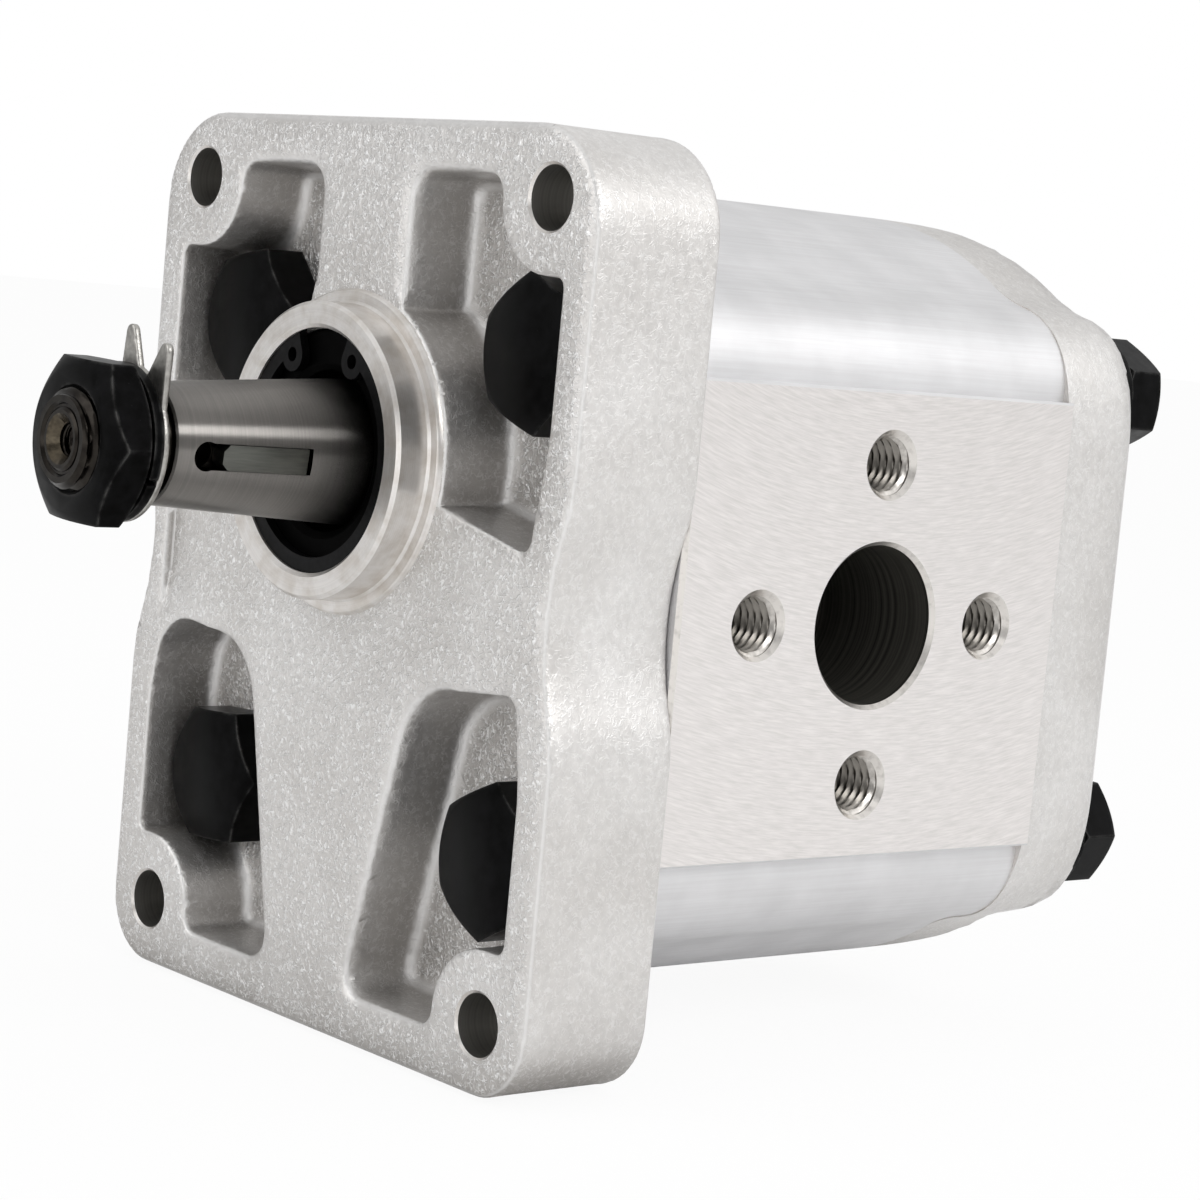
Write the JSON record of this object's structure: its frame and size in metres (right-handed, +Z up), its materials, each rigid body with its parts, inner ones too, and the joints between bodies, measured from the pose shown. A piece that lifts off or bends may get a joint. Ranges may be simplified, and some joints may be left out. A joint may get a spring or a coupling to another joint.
{
  "type": "hydraulic gear pump",
  "caption": "External gear pump with a pocketed cast front flange, flanged side ports, and a tapered, keyed drive shaft with nut and tab washer.",
  "frame": {"origin": "on the drive shaft's axis, in the flange's mounting face at the foot of the pilot", "axes": "+X out of the suction port's side, +Y back through the pump from the shaft end, +Z up"},
  "size_m": [0.089, 0.1501, 0.113],
  "materials": {
    "cast_aluminium": "light grey die casting with a fine grain",
    "extruded_aluminium": "satin extruded sides and milled port pads",
    "bearing_aluminium": "fine turned",
    "ground_steel": "ground and polished",
    "black_steel": "black oxide",
    "bright_washer_steel": "bright stamped sheet",
    "spring_steel": "phosphated",
    "dowel_steel": "ground",
    "liner_bronze": "bronze-backed plain bearing strip",
    "seal_rubber": "matte nitrile rubber",
    "backup_plastic": "matte"
  },
  "bodies": {
    "housing": {"front_flange": "cast_aluminium", "pump_body": "extruded_aluminium", "rear_cover": "cast_aluminium", "front_bearing_block": "bearing_aluminium", "rear_bearing_block": "bearing_aluminium", "front_bearing_liners": "liner_bronze", "rear_bearing_liners": "liner_bronze", "shaft_seal": "seal_rubber", "seal_case": "spring_steel", "garter_spring": "spring_steel", "seal_circlip": "spring_steel", "front_body_seal": "seal_rubber", "rear_body_seal": "seal_rubber", "front_pressure_seal": "seal_rubber", "rear_pressure_seal": "seal_rubber", "front_backup_ring": "backup_plastic", "rear_backup_ring": "backup_plastic", "front_dowels": "dowel_steel", "rear_dowels": "dowel_steel", "long_bolts": "black_steel", "rear_washers": "black_steel", "rear_nuts": "black_steel"},
    "drive_shaft": {"drive_gear_shaft": "ground_steel", "shaft_key": "dowel_steel", "tab_washer": "bright_washer_steel", "spring_washer": "black_steel", "shaft_nut": "black_steel"},
    "driven_shaft": {"driven_gear_shaft": "ground_steel"}
  },
  "joints": [
    {"name": "drive_shaft_spin", "type": "hinge", "parent": "housing", "child": "drive_shaft", "pos_m": [0, 0, 0], "axis": [0, 1, 0], "continuous": true},
    {"name": "driven_gear_spin", "type": "hinge", "parent": "housing", "child": "driven_shaft", "pos_m": [0, 0, -0.031], "axis": [0, 1, 0], "continuous": true}
  ],
  "couplings": [
    {"joint": "driven_gear_spin", "follows": "drive_shaft_spin", "ratio": -1}
  ]
}
